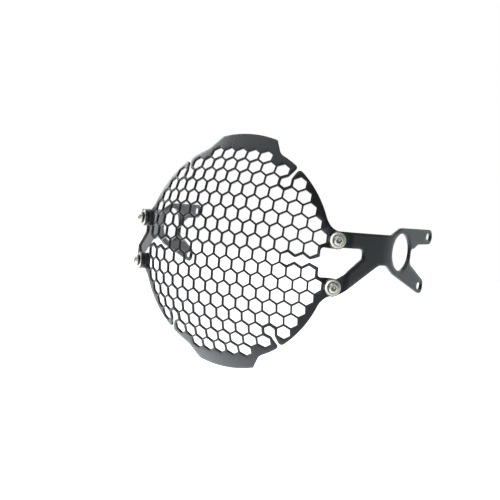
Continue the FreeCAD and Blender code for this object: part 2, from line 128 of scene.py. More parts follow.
def lug_plane(side, level):
    """Centre of a lug's middle plane, its front normal and the direction outwards along it."""
    place = dome(np.array([lug_across]), np.array([lug_up]))[0][0]
    normal = np.array([side * math.sin(lug_tilt), -math.cos(lug_tilt), 0.0])
    centre = np.array([side * place[0], place[1], level * place[2]]) - normal * lug_set_back
    along = np.array([side * math.cos(lug_tilt), math.sin(lug_tilt), 0.0])
    return centre, normal, along


def pressed(u, v):
    """The dome, eased into the flat plane of a lug within lug_blend of the lug's round end."""
    place, normal = dome(u, v)
    for side in (1.0, -1.0):
        for level in (1.0, -1.0):
            right = u - side * lug_across
            rise = v - level * lug_up
            share = smooth_step((np.hypot(right, rise) - lug_radius) / lug_blend)[:, None]
            centre, seat_normal, along = lug_plane(side, level)
            seat = centre + along * (side * right)[:, None] + np.array([0.0, 0.0, 1.0]) * rise[:, None]
            place = seat * (1.0 - share) + place * share
            normal = seat_normal * (1.0 - share) + normal * share
    return place, normal / np.linalg.norm(normal, axis=1)[:, None]


def arc(centre, radius, start, end, step=1.6):
    """Points on an arc, about one step apart: the centre plus the radius turned from start to end."""
    count = max(int(abs(end - start) * radius / step), 4) + 1
    turns = np.linspace(start, end, count)
    return np.stack([centre[0] + radius * np.cos(turns), centre[1] + radius * np.sin(turns)], 1)


def softened(corners, closed):
    """A run of straight lines whose corners, each (x, y, radius), are rounded by tangent arcs."""
    points = []
    total = len(corners)
    for k, (x, y, radius) in enumerate(corners):
        here = np.array([x, y])
        if radius == 0.0 or (not closed and k in (0, total - 1)):
            points.append(here[None])
            continue
        back = np.array(corners[k - 1][:2]) - here
        ahead = np.array(corners[(k + 1) % total][:2]) - here
        back = back / np.linalg.norm(back)
        ahead = ahead / np.linalg.norm(ahead)
        half = math.acos(np.clip(back @ ahead, -1.0, 1.0)) / 2.0
        centre = here + (back + ahead) / np.linalg.norm(back + ahead) * (radius / math.sin(half))
        first = here + back * (radius / math.tan(half)) - centre
        last = here + ahead * (radius / math.tan(half)) - centre
        start = math.atan2(first[1], first[0])
        turn = (math.atan2(last[1], last[0]) - start + math.pi) % (2.0 * math.pi) - math.pi
        step = max(0.3, radius * 0.35)
        points.append(arc(centre, radius, start, start + turn, step))
    return np.concatenate(points)


def spaced(points, longest):
    """The same closed run of points, with each stretch that is too long cut into equal shares."""
    ahead = np.roll(points, -1, axis=0) - points
    counts = np.maximum(np.ceil(np.linalg.norm(ahead, axis=1) / longest), 1.0).astype(int)
    owner = np.repeat(np.arange(len(points)), counts)
    first = np.cumsum(counts) - counts
    shares = (np.arange(len(owner)) - first[owner]) / counts[owner]
    return points[owner] + ahead[owner] * shares[:, None]


def beside_line(foot, way, square, radius, reach, last):
    """Centre of an arc that touches a line on one side and lies at a distance from the panel's centre."""
    start = foot + square * radius
    middle = -(start @ way)
    chord = math.sqrt(middle ** 2 - start @ start + reach ** 2)
    return start + way * (middle + chord if last else middle - chord)


def hexagon(across, up, half_width):
    """Corners of a hexagon with a corner on top: each lies the half width over cos 30 from its middle."""
    corner = half_width / math.cos(math.pi / 6.0)
    turns = [math.pi / 6.0 + k * math.pi / 3.0 for k in range(6)]
    return [np.array([across + corner * math.cos(t), up + corner * math.sin(t)]) for t in turns]


def angle_of(point):
    """The turn from the first axis to a point, seen from the middle."""
    return math.atan2(point[1], point[0])


def panel_quarter():
    """The blank's outline from the right side slot's inner end up to the middle of the upper peak."""
    inset = edge_web - web / 2.0
    cell_corner = pitch / math.sqrt(3.0)
    lift = cell_corner - inset / math.cos(math.pi / 6.0)
    dip = cell_corner / 2.0 - inset / math.cos(math.pi / 6.0)
    inner = 4.5 * pitch + web / 2.0
    end_up = cell_corner / 2.0 - web / 2.0 * math.tan(math.pi / 6.0)
    outer = 7.0 * pitch + inset
    slot = [(inner, 0.0, 0.0), (inner, end_up, side_slot_end_corner)]
    for cells, up in ((5.0, lift), (5.5, dip), (6.0, lift), (6.5, dip)):
        slot.append((cells * pitch, up, side_slot_corner))
    slot += [(outer, lift, side_slot_corner), (outer, lug_up - lug_radius, lug_root_corner)]
    slot += [(lug_across, lug_up - lug_radius, 0.0)]
    runs = [softened(slot, False)]
    # The eye's round end, and the hollow that leads from it to the rim.
    eye = np.array([lug_across, lug_up])
    span = float(np.linalg.norm(eye))
    reach = ((rim + lug_fillet) ** 2 - (lug_radius + lug_fillet) ** 2 + span ** 2) / (2.0 * span)
    square_reach = math.sqrt((rim + lug_fillet) ** 2 - reach ** 2)
    hollow = eye / span * reach + np.array([-eye[1], eye[0]]) / span * square_reach
    leave = angle_of(hollow - eye)
    runs.append(arc(eye, lug_radius, -math.pi / 2.0, leave)[1:])
    runs.append(arc(hollow, lug_fillet, leave + math.pi, angle_of(hollow) + math.pi)[1:])
    # The slit and the open corner cell, with a rounded tip on each petal.
    cell = hexagon(notch_cell[0], notch_cell[1], (pitch + web) / 2.0 - edge_web)
    way = np.array([math.cos(slit_slope), math.sin(slit_slope)])
    square = np.array([way[1], -way[0]])
    slit_half = slit_width / 2.0
    lean = np.array([math.cos(math.pi / 6.0), math.sin(math.pi / 6.0)])
    centre = np.array(notch_cell)
    peak_gap = (cell[2] - centre) @ square + slit_half - slit_aside
    peak_foot = cell[2] - lean * peak_gap / (lean @ square)
    side_gap = slit_half + slit_aside - (cell[0] - centre) @ square
    side_foot = cell[0] + np.array([0.0, side_gap / square[1]])
    side_tip = beside_line(side_foot, way, square, side_tip_radius, rim - side_tip_radius, True)
    peak_tip = beside_line(peak_foot, way, -square, peak_tip_radius, rim - peak_tip_radius, True)
    runs.append(arc((0.0, 0.0), rim, angle_of(hollow), angle_of(side_tip))[1:-1])
    runs.append(arc(side_tip, side_tip_radius, angle_of(side_tip), slit_slope + math.pi / 2.0, 0.8))
    notch = [tuple(side_tip - square * side_tip_radius) + (0.0,), tuple(side_foot) + (slit_foot_radius,)]
    notch += [tuple(cell[k]) + (notch_corner_radius,) for k in (5, 4, 3, 2)]
    notch += [tuple(peak_foot) + (slit_foot_radius,), tuple(peak_tip + square * peak_tip_radius) + (0.0,)]
    runs.append(softened(notch, False)[1:])
    runs.append(arc(peak_tip, peak_tip_radius, slit_slope - math.pi / 2.0, angle_of(peak_tip), 0.8)[1:])
    # The shoulder up to the peak, the peak's corner and its brow.
    corner = peak * np.array([math.sin(peak_half_angle), math.cos(peak_half_angle)])
    down = np.array([math.sin(shoulder_slope), -math.cos(shoulder_slope)])
    beside = np.array([math.cos(shoulder_slope), math.sin(shoulder_slope)])
    shoulder = beside_line(corner, down, beside, shoulder_radius, rim + shoulder_radius, False)
    runs.append(arc((0.0, 0.0), rim, angle_of(peak_tip), angle_of(shoulder))[1:-1])
    runs.append(arc(shoulder, shoulder_radius, angle_of(shoulder) + math.pi, shoulder_slope + math.pi))
    brow = beside_line(corner, down, -beside, peak_corner_radius, peak - peak_corner_radius, False)
    runs.append(arc(brow, peak_corner_radius, shoulder_slope, angle_of(brow), 0.4))
    runs.append(arc((0.0, 0.0), peak, angle_of(brow), math.pi / 2.0)[1:])
    return np.concatenate(runs)


def cut_plate(outer, holes, thick, edge, grain, form):
    """A plate from its flat outlines: two skins, and a rounded edge carried along every outline.

    The outer outline runs anticlockwise and the holes clockwise, so the metal is always on the left.
    The edge's profile is a quarter circle, a straight wall and a quarter circle. The form turns flat
    places into middle-surface places and normals, and each point lies at its height along the normal.
    """
    loops = [spaced(outer, outline_step)] + [spaced(hole, outline_step) for hole in holes]
    flats = []
    squares = []
    for loop in loops:
        ahead = np.roll(loop, -1, axis=0) - loop
        ahead = ahead / np.linalg.norm(ahead, axis=1)[:, None]
        behind = np.roll(ahead, 1, axis=0)
        out_ahead = np.stack([ahead[:, 1], -ahead[:, 0]], 1)
        out_behind = np.stack([behind[:, 1], -behind[:, 0]], 1)
        both = out_ahead + out_behind
        squares.append(both / (1.0 + np.sum(out_ahead * out_behind, axis=1))[:, None])
        flats.append(loop)
    flat = np.concatenate(flats)
    square = np.concatenate(squares)
    owner = np.concatenate([np.full(len(loop), k) for k, loop in enumerate(loops)])
    starts = np.cumsum([0] + [len(loop) for loop in loops])
    following = np.concatenate([np.roll(np.arange(len(loop)), -1) + start
                                for loop, start in zip(loops, starts)])
    inset = flat - square * edge

    def within(points):
        """True for points inside the outer outline: a ray from them crosses it an odd number of times."""
        first = inset[owner == 0]
        last = np.roll(first, -1, axis=0)
        spans = (first[None, :, 1] > points[:, None, 1]) != (last[None, :, 1] > points[:, None, 1])
        rise = last[:, 1] - first[:, 1]
        rise = np.where(rise == 0.0, 1e-12, rise)
        cross = first[:, 0] + (points[:, None, 1] - first[:, 1]) / rise * (last[:, 0] - first[:, 0])
        return np.sum(spans & (points[:, None, 0] < cross), axis=1) % 2 == 1

    # Extra points on a triangular grid, wherever the plate is wide enough to need them.
    row_share = 0.866
    edge_share = 0.55
    hole_room = 0.2
    batch = 500
    low = inset.min(0)
    high = inset.max(0)
    columns = np.arange(low[0], high[0], grain)
    rows = np.arange(low[1], high[1], grain * row_share)
    grid_u, grid_v = np.meshgrid(columns, rows)
    grid_u = grid_u + np.where(np.arange(len(rows)) % 2 == 1, grain / 2.0, 0.0)[:, None]
    inner = np.stack([grid_u.ravel(), grid_v.ravel()], 1)
    inner = inner[within(inner)]
    clear = np.ones(len(inner), bool)
    for k, hole in enumerate(loops[1:], 1):
        centre = hole.mean(0)
        reach = np.linalg.norm(hole - centre, axis=1).max()
        clear &= np.linalg.norm(inner - centre, axis=1) > reach + hole_room
    inner = inner[clear]
    nearest = np.full(len(inner), 1e9)
    for start in range(0, len(inset), batch):
        gap = np.linalg.norm(inner[:, None] - inset[None, start:start + batch], axis=2)
        nearest = np.minimum(nearest, gap.min(1))
    inner = inner[nearest > grain * edge_share]
    places = np.concatenate([inset, inner])
    edges = [(k, int(following[k])) for k in range(len(inset))]
    result = delaunay_2d_cdt([Vector(p) for p in places.tolist()], edges, [], 0, 1e-7, True)
    back = np.array([items[0] for items in result[3]])
    triangles = back[np.array(result[2])]
    ring_of = np.concatenate([owner, np.full(len(inner), -1)])[triangles]
    same = (ring_of[:, 0] == ring_of[:, 1]) & (ring_of[:, 1] == ring_of[:, 2]) & (ring_of[:, 0] > 0)
    keep = ~same & within(places[triangles].mean(1))
    triangles = triangles[keep]
    a, b, c = (places[triangles[:, k]] for k in range(3))
    turn = (b[:, 0] - a[:, 0]) * (c[:, 1] - a[:, 1]) - (c[:, 0] - a[:, 0]) * (b[:, 1] - a[:, 1])
    triangles[turn < 0.0] = triangles[turn < 0.0][:, ::-1]

    # Rows of points: front skin, the edge's profile from front to back, back skin.
    half = thick / 2.0
    count = len(places)
    turns = np.radians([0.0, 45.0, 90.0])
    profile = [(edge * (1.0 - math.sin(t)), half - edge * (1.0 - math.cos(t))) for t in turns]
    profile = profile[1:] + [(draw, -height) for draw, height in profile[::-1]][:-1]
    sets = [(places, half)]
    sets += [(flat - square * draw, height) for draw, height in profile]
    sets.append((places, -half))
    points = []
    for spots, height in sets:
        place, normal = form(spots[:, 0], spots[:, 1])
        points.append(place + normal * height)
    offsets = np.cumsum([0] + [len(spots) for spots, height in sets])
    around = np.arange(len(flat))
    quads = []
    for first, last in zip(offsets[:-2], offsets[1:-1]):
        quads.append(np.stack([first + around, last + around, last + following, first + following], 1))
    faces = triangles.tolist() + (triangles[:, ::-1] + offsets[-2]).tolist()
    faces += np.concatenate(quads).tolist()
    return np.concatenate(points), faces


def add_piece(name, points, faces, material, cad_node, mirror=False):
    """Make a mesh piece from points in millimetres, standing for a CAD node."""
    points = np.asarray(points) * mm
    if mirror:
        points = points * np.array([-1.0, 1.0, 1.0])
        faces = [face[::-1] for face in faces]
    data = bpy.data.meshes.new(name)
    data.from_pydata(points.tolist(), [], faces)
    data.polygons.foreach_set("use_smooth", [True] * len(data.polygons))
    data.materials.append(material)
    data.update()
    piece = bpy.data.objects.new(name, data)
    bpy.context.scene.collection.objects.link(piece)
    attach(piece, "root")
    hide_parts(cad_node)
    return piece


def node(tree, kind, **inputs):
    """Add a shader node; a plain value sets an input, and an output of another node is linked to it."""
    made = tree.nodes.new(kind)
    for key, value in inputs.items():
        socket = made.inputs[key.replace("_", " ")]
        if isinstance(value, bpy.types.NodeSocket):
            tree.links.new(value, socket)
        else:
            socket.default_value = value
    return made


def new_finish(name):
    """A new material, its tree of nodes, its surface shader and the piece's own coordinates."""
    material = bpy.data.materials.new(name)
    material.use_nodes = True
    tree = material.node_tree
    where = tree.nodes.new("ShaderNodeTexCoord").outputs["Object"]
    return material, tree, tree.nodes["Principled BSDF"], where


def two_tone(tree, share, dark, pale):
    """A colour that goes in a straight line from dark to pale as the share goes from 0 to 1."""
    tint = tree.nodes.new("ShaderNodeMix")
    tint.data_type = "RGBA"
    tree.links.new(share, tint.inputs["Factor"])
    tint.inputs[6].default_value = dark + (1.0,)
    tint.inputs[7].default_value = pale + (1.0,)
    return tint.outputs[2]


def powder_coat(name, dark, pale, rough):
    """Satin powder coat: two close blacks in soft clouds, uneven gloss and a fine orange-peel skin."""
    material, tree, shader, where = new_finish(name)
    clouds = node(tree, "ShaderNodeTexNoise", Vector=where, Scale=38.0, Detail=3.0)
    peel = node(tree, "ShaderNodeTexNoise", Vector=where, Scale=1500.0, Detail=2.0)
    specks = node(tree, "ShaderNodeTexNoise", Vector=where, Scale=3600.0, Detail=1.0)
    tree.links.new(two_tone(tree, clouds.outputs["Fac"], dark, pale), shader.inputs["Base Color"])
    spread = {"To_Min": rough - 0.07, "To_Max": rough + 0.07}
    gloss = node(tree, "ShaderNodeMapRange", Value=specks.outputs["Fac"], **spread)
    tree.links.new(gloss.outputs["Result"], shader.inputs["Roughness"])
    bump = node(tree, "ShaderNodeBump", Height=peel.outputs["Fac"], Strength=0.15, Distance=0.00005)
    tree.links.new(bump.outputs["Normal"], shader.inputs["Normal"])
    shader.inputs["IOR"].default_value = 1.5
    shader.inputs["Specular Tint"].default_value = (0.86, 0.945, 1.0, 1.0)
    return material


panel_coat = powder_coat("panel_powder_coat", (0.0075, 0.0080, 0.0095), (0.0120, 0.0125, 0.0140), 0.34)
quarter = panel_quarter()
left_quarter = (quarter * (-1.0, 1.0))[::-1][1:]
upper_half = np.concatenate([quarter, left_quarter])
panel_outline = np.concatenate([upper_half[1:], -upper_half[1:]])
hole_half_width = (pitch - web) / 2.0
centres = [((k - (count - 1) / 2.0) * pitch, sign * row * row_rise)
           for row, count in enumerate(row_holes)
           for sign in ((1,) if row == 0 else (1, -1)) for k in range(count)]
centres += [(side * 5.0 * pitch, level * 6.0 * row_rise) for side in (1, -1) for level in (1, -1)]
panel_holes = []
for across, up in centres:
    corners = [tuple(corner) + (hole_corner,) for corner in hexagon(across, up, hole_half_width)]
    panel_holes.append(softened(corners[::-1], True))
panel_holes += [arc((side * lug_across, level * lug_up), lug_bore, 2.0 * math.pi, 0.0, 0.9)[:-1]
                for side in (1, -1) for level in (1, -1)]
points, faces = cut_plate(panel_outline, panel_holes, sheet, sheet_edge, sheet_grain, pressed)
add_piece("mesh_panel", points, faces, panel_coat, "guard_panel")


# The side brackets. Each is laser cut from 3 mm steel plate with two arms, a big ring and two slotted
# tabs, folded near its front and eased outwards behind, and powder coated like the panel.
plate = 3.0
spacer_thick = 3.0
mid_angle = math.radians(16.8)
rear_angle = math.radians(5.1)
mid_length = 48.8
rear_length = 82.3
plate_edge = 0.4
plate_grain = 3.0
front_fold_radius = 5.0
rear_fold_radius = 80.0
rear_end = mid_length + rear_length
upper_slot = (rear_end - 6.6, 29.95)
lower_slot = (rear_end - 15.1, -15.2)
slot_long = 9.5
slot_high = 6.5
bolt_bore = 2.75
boss_hole = (74.0, 14.2)
boss_radius = 16.5
ring_wall = 4.7
ring_back = boss_hole[0] + boss_radius + 1.8
eye_back = -11.0
arm_rise = 1.0
waist = 1.6
tab_half_height = 6.65
tab_corner = 6.0
crotch_low = (18.6, 6.0)
crotch_high = (18.6, 14.4)
lug_centre, lug_normal, lug_along = lug_plane(1.0, 1.0)
eye_level = lug_centre[2]


def folded(a, z):
    """Middle surface of the bracket: a flat distance back from the front fold, and a height.

    The path in plan is three straight stretches joined by arcs that touch them. Distances are those of
    the outer face's straight stretches, so within an arc they share out its angle evenly.
    """
    front = (lug_centre + lug_normal * (sheet / 2.0 + spacer_thick + plate) - lug_along * eye_back)[:2]
    ways = np.array([[lug_along[0], lug_along[1]], [math.sin(mid_angle), math.cos(mid_angle)],
                     [math.sin(rear_angle), math.cos(rear_angle)]])
    rear = front + ways[1] * mid_length
    headings = np.arctan2(ways[:, 1], ways[:, 0])
    place = np.where((a < mid_length)[:, None], front + np.outer(a, ways[1]),
                     rear + np.outer(a - mid_length, ways[2]))
    place = np.where((a < 0.0)[:, None], front + np.outer(a, ways[0]), place)
    heading = np.where(a < 0.0, headings[0], np.where(a < mid_length, headings[1], headings[2]))
    folds = ((front, 0.0, 0, front_fold_radius + plate), (rear, mid_length, 1, rear_fold_radius + plate))
    for corner, start, before, radius in folds:
        turn = headings[before + 1] - headings[before]
        reach = radius * math.tan(turn / 2.0)
        share = (a - start + reach) / (2.0 * reach)
        angle = headings[before] + turn * share
        lead = np.array([-ways[before][1], ways[before][0]])
        centre = corner - ways[before] * reach + lead * radius
        bend = centre + radius * np.stack([np.sin(angle), -np.cos(angle)], 1)
        on_arc = (share > 0.0) & (share < 1.0)
        place = np.where(on_arc[:, None], bend, place)
        heading = np.where(on_arc, angle, heading)
    square = np.stack([np.sin(heading), -np.cos(heading)], 1)
    place = place - square * (plate / 2.0)
    return np.column_stack([place, z]), np.column_stack([square, np.zeros(len(a))])


def bracket_outline():
    """The plate's outline from the upper eye back along the top, round both tabs and along the arms."""
    slope = math.radians(31.0)
    leave = (eye_back + lug_radius * math.sin(slope), -eye_level - lug_radius * math.cos(slope))
    arm_top = eye_level + lug_radius
    tab_top = upper_slot[1] + tab_half_height
    tab_floor = upper_slot[1] - tab_half_height
    boss_back, boss_up = boss_hole
    low_back, low_up = lower_slot
    # Each corner is its distance back, its height and its radius, placed from the holes it goes round.
    top = [(eye_back, arm_top, 0.0), (boss_back - 18.7, arm_top + arm_rise, 20.0)]
    top += [(boss_back - 3.0, boss_up + boss_radius + ring_wall, 15.0)]
    top += [(rear_end, tab_top, tab_corner), (rear_end, tab_floor, tab_corner)]
    top += [(ring_back + 12.7, tab_floor - 1.2, 6.0), (ring_back + 5.7, boss_up + 4.0, 4.0)]
    top += [(ring_back, boss_up + 3.4, 3.0), (ring_back, boss_up - 10.0, 5.0)]
    top += [(low_back + 6.7, low_up + 4.9, 5.0), (low_back + 7.1, low_up - 9.0, 5.5)]
    top += [(boss_back - 9.5, boss_up - 20.1, 12.0), (boss_back - 22.8, waist, 8.0)]
    top += [(boss_back - 34.5, waist, 10.0), leave + (0.0,)]
    lower_eye = (eye_back, -eye_level)
    upper_eye = (eye_back, eye_level)
    # The arms' inner edges meet the round eyes where a line from the gap's end crosses each circle.
    low_way = np.array([eye_back + 2.0, -eye_level + lug_radius - 0.6]) - crotch_low
    low_way = low_way / np.linalg.norm(low_way)
    high_way = np.array([eye_back + 2.0, eye_level - lug_radius + 1.6]) - crotch_high
    high_way = high_way / np.linalg.norm(high_way)

    def meets(start, way, eye):
        """Where a line from the start first crosses the circle of an eye."""
        gap = np.array(start) - np.array(eye)
        middle = -(gap @ way)
        return np.array(start) + way * (middle - math.sqrt(middle ** 2 - gap @ gap + lug_radius ** 2))

    low_meet = meets(crotch_low, low_way, lower_eye)
    high_meet = meets(crotch_high, high_way, upper_eye)
    runs = [softened(top, False)]
    first = angle_of(np.array(leave) - lower_eye)
    last = angle_of(low_meet - lower_eye) - 2.0 * math.pi
    runs.append(arc(lower_eye, lug_radius, first, last, 1.2)[1:])
    inner = [tuple(low_meet) + (0.0,), crotch_low + (4.5,), crotch_high + (5.0,), tuple(high_meet) + (0.0,)]
    runs.append(softened(inner, False)[1:])
    first = angle_of(high_meet - upper_eye)
    runs.append(arc(upper_eye, lug_radius, first, math.pi / 2.0 - 2.0 * math.pi, 1.2)[1:-1])
    return np.concatenate(runs)[::-1]


def slot_hole(across, up):
    """A slot of slot_long by slot_high, drawn clockwise: half circles on both ends of a short line."""
    half_line = (slot_long - slot_high) / 2.0
    right = arc((across + half_line, up), slot_high / 2.0, math.pi / 2.0, -math.pi / 2.0, 1.0)
    left = arc((across - half_line, up), slot_high / 2.0, -math.pi / 2.0, -1.5 * math.pi, 1.0)
    return np.concatenate([right, left])


bracket_coat = powder_coat("bracket_powder_coat", (0.0080, 0.0085, 0.0100), (0.0130, 0.0135, 0.0150), 0.34)
bracket_holes = [arc(boss_hole, boss_radius, 2.0 * math.pi, 0.0, 1.2)[:-1]]
bracket_holes += [slot_hole(*upper_slot), slot_hole(*lower_slot)]
bracket_holes += [arc((eye_back, level * eye_level), bolt_bore, 2.0 * math.pi, 0.0, 0.9)[:-1]
                  for level in (1, -1)]
points, faces = cut_plate(bracket_outline(), bracket_holes, plate, plate_edge, plate_grain, folded)
add_piece("side_bracket_right", points, faces, bracket_coat, "bracket_right")
add_piece("side_bracket_left", points, faces, bracket_coat, "bracket_left", mirror=True)


# The screws' stacks. At each lug a stainless socket screw goes through a blackened spring washer, its dark
# tone also painted shade for the gap under the head, a big washer of the same stainless painted paler as a
# painted highlight on its lit face, and the bracket's eye into a round press nut, which sits in a rubber
# spacer on the lug.
screw_radius = 2.5
screw_length = 10.0
thread_pitch = 0.8
thread_depth = 0.42
thread_start = 3.2
thread_step = 0.1
thread_stop = 0.6
fade_length = 0.6
fade_end = 0.4
plain_length = 3.0
tip_radius = 1.8
tip_bevel = 0.1
head_radius = 4.3
head_height = 2.75
head_side = 0.6
head_top_radius = 2.9
head_bevel = 0.12
socket_across = 4.0
socket_depth = 1.8
socket_bevel = 0.15
washer_radius = 6.8
washer_bore = 2.65
washer_thick = 1.0
lock_radius = 4.7
lock_bore = 2.6
lock_thick = 1.2
lock_split = 0.8
spacer_radius = 7.2
nut_radius = 3.9
nut_bore = 2.53
nut_shank_radius = 3.1
nut_shank = 1.7
nut_clearance = 0.1
nut_bevel = 0.1
nut_shank_bevel = 0.12
nut_mouth = 2.8
nut_mouth_depth = 0.25
nut_tail_mouth = 2.75
nut_tail_depth = 0.3


def turned(rows, count):
    """Rows of (radius, height) carried round an axis; a radius may be a number or an array of angles."""
    turns = np.arange(count) * 2.0 * math.pi / count
    grid = []
    for radius, height in rows:
        radii = np.broadcast_to(radius, (count,))
        heights = np.broadcast_to(height, (count,))
        grid.append(np.stack([radii * np.cos(turns), radii * np.sin(turns), heights], 1))
    around = np.arange(count)
    following = np.roll(around, -1)
    faces = []
    for k in range(len(rows) - 1):
        first = k * count
        last = first + count
        faces.append(np.stack([first + around, first + following, last + following, last + around], 1))
    return np.concatenate(grid), np.concatenate(faces).tolist()


def hexagonal(count, half_width):
    """Distance from the axis to a hexagon at each angle: the half width over the cosine from a flat."""
    turns = np.arange(count) * 2.0 * math.pi / count
    from_flat = np.mod(turns, math.pi / 3.0) - math.pi / 6.0
    return half_width / np.cos(from_flat)


def on_stack(points, side, level, distance):
    """Bring points made about +Z to a screw's axis, at a distance outwards from the lug's plane."""
    centre, normal, along = lug_plane(side, level)
    up = np.array([0.0, 0.0, 1.0])
    across = np.cross(up, normal)
    return centre + normal * distance + points @ np.array([across, up, normal])


def screw_form():
    """Socket screw: a low domed head with a hexagonal socket, and a threaded shank.

    The head's side is a quarter ellipse. The thread is a cosine wave of the angle and the depth together,
    which fades out near the tip.
    """
    count = 48
    turns = np.arange(count) * 2.0 * math.pi / count
    socket = hexagonal(count, socket_across / 2.0)
    floor_height = head_height - socket_depth
    rows = [(0.0, floor_height), (socket * 0.98, floor_height), (socket, floor_height + 0.1)]
    rows += [(socket, head_height - socket_bevel), (socket + socket_bevel, head_height)]
    rows.append((head_top_radius, head_height))
    lean = np.radians(np.linspace(0.0, 90.0, 9))[1:-1]
    rows += [(head_top_radius + (head_radius - head_top_radius) * math.sin(t),
              head_side + (head_height - head_side) * math.cos(t)) for t in lean]
    rows += [(head_radius, head_side), (head_radius, head_bevel), (head_radius - head_bevel, 0.0)]
    rows += [(screw_radius, 0.0), (screw_radius, -plain_length)]
    for depth in np.arange(thread_start, screw_length - thread_stop, thread_step):
        wave = 0.5 + 0.5 * np.cos(2.0 * math.pi * depth / thread_pitch + turns)
        fade = min(1.0, (screw_length - fade_end - depth) / fade_length)
        rows.append((screw_radius - thread_depth * wave * fade, -depth))
    rows += [(2.0, tip_bevel - screw_length), (tip_radius, -screw_length), (0.0, -screw_length)]
    points, faces = turned(rows, count)
    return points, [face[::-1] for face in faces]


def ring_form(radius, bore, thick, edge):
    """A flat ring with its four edges rounded."""
    rows = [(bore, edge), (bore + edge * 0.3, edge * 0.3), (bore + edge, 0.0), (radius - edge, 0.0)]
    rows += [(radius - edge * 0.3, edge * 0.3), (radius, edge), (radius, thick - edge)]
    rows += [(radius - edge * 0.3, thick - edge * 0.3), (radius - edge, thick), (bore + edge, thick)]
    rows += [(bore + edge * 0.3, thick - edge * 0.3), (bore, thick - edge), (bore, edge)]
    return turned(rows, 64)


def lock_form():
    """Spring washer: a square section with bevelled corners, carried round from one end to the other."""
    half_gap = lock_split / (lock_radius + lock_bore)
    turns = np.linspace(half_gap, 2.0 * math.pi - half_gap, 61)
    bevel = 0.08
    section = [(lock_bore + bevel, 0.0), (lock_radius - bevel, 0.0), (lock_radius, bevel)]
    section += [(lock_radius, lock_thick - bevel), (lock_radius - bevel, lock_thick)]
    section += [(lock_bore + bevel, lock_thick), (lock_bore, lock_thick - bevel), (lock_bore, bevel)]
    section = np.array(section)
    radius, height = section[:, 0, None], section[:, 1, None]
    grid = np.stack([radius * np.cos(turns), radius * np.sin(turns), height + 0.0 * turns], 2)
    this = np.arange(len(section) * len(turns)).reshape(len(section), len(turns))
    following = np.roll(this, -1, axis=0)
    quads = np.stack([following[:, :-1], following[:, 1:], this[:, 1:], this[:, :-1]], 2)
    ends = [this[::-1, 0].tolist(), this[:, -1].tolist()]
    return grid.reshape(-1, 3), quads.reshape(-1, 4).tolist() + ends


def nut_form():
    """Round press nut: a body that fills the spacer, and a shank pressed into the lug."""
    low = -nut_shank
    rows = [(nut_bore, low + nut_tail_depth), (nut_tail_mouth, low), (nut_shank_radius - nut_bevel, low)]
    rows += [(nut_shank_radius, low + nut_shank_bevel), (nut_shank_radius, 0.0)]
    rows += [(nut_radius, 0.0), (nut_radius, spacer_thick - nut_bevel)]
    rows += [(nut_radius - nut_bevel, spacer_thick), (nut_mouth, spacer_thick)]
    rows += [(nut_bore, spacer_thick - nut_mouth_depth), (nut_bore, low + nut_tail_depth)]
    return turned(rows, 64)


def bare_steel(name, dark, pale, rough):
    """Bare steel: two close greys in faint smears, painted shade that darkens the colour in recesses,
    uneven gloss and a fine grain.
    """
    material, tree, shader, where = new_finish(name)
    smears = node(tree, "ShaderNodeTexNoise", Vector=where, Scale=420.0, Detail=4.0)
    grain = node(tree, "ShaderNodeTexNoise", Vector=where, Scale=5200.0, Detail=2.0)
    tint = two_tone(tree, smears.outputs["Fac"], dark, pale)
    # Painted shade: ambient occlusion darkens the colour in recesses and sockets.
    painted_recess_shade = node(tree, "ShaderNodeAmbientOcclusion", Color=tint, Distance=0.003)
    tree.links.new(painted_recess_shade.outputs["Color"], shader.inputs["Base Color"])
    spread = {"To_Min": rough - 0.08, "To_Max": rough + 0.08}
    gloss = node(tree, "ShaderNodeMapRange", Value=smears.outputs["Fac"], **spread)
    tree.links.new(gloss.outputs["Result"], shader.inputs["Roughness"])
    bump = node(tree, "ShaderNodeBump", Height=grain.outputs["Fac"], Strength=0.06, Distance=0.00002)
    tree.links.new(bump.outputs["Normal"], shader.inputs["Normal"])
    shader.inputs["Metallic"].default_value = 1.0
    return material


def rubber(name):
    """Black rubber: dull, with a faint grey bloom in clouds and a fine grain."""
    material, tree, shader, where = new_finish(name)
    bloom = node(tree, "ShaderNodeTexNoise", Vector=where, Scale=260.0, Detail=3.0)
    tint = two_tone(tree, bloom.outputs["Fac"], (0.016, 0.016, 0.017), (0.035, 0.035, 0.036))
    tree.links.new(tint, shader.inputs["Base Color"])
    grain = node(tree, "ShaderNodeTexNoise", Vector=where, Scale=4000.0, Detail=2.0)
    bump = node(tree, "ShaderNodeBump", Height=grain.outputs["Fac"], Strength=0.3, Distance=0.00004)
    tree.links.new(bump.outputs["Normal"], shader.inputs["Normal"])
    shader.inputs["Roughness"].default_value = 0.72
    return material


screw_steel = bare_steel("screw_steel", (0.58, 0.58, 0.52), (0.68, 0.68, 0.61), 0.36)
# The washers' stainless is the screws' metal painted paler: a painted highlight for their lit faces.
painted_lit_washer_steel = bare_steel("painted_lit_washer_steel", (0.80, 0.80, 0.71), (0.90, 0.90, 0.82), 0.34)
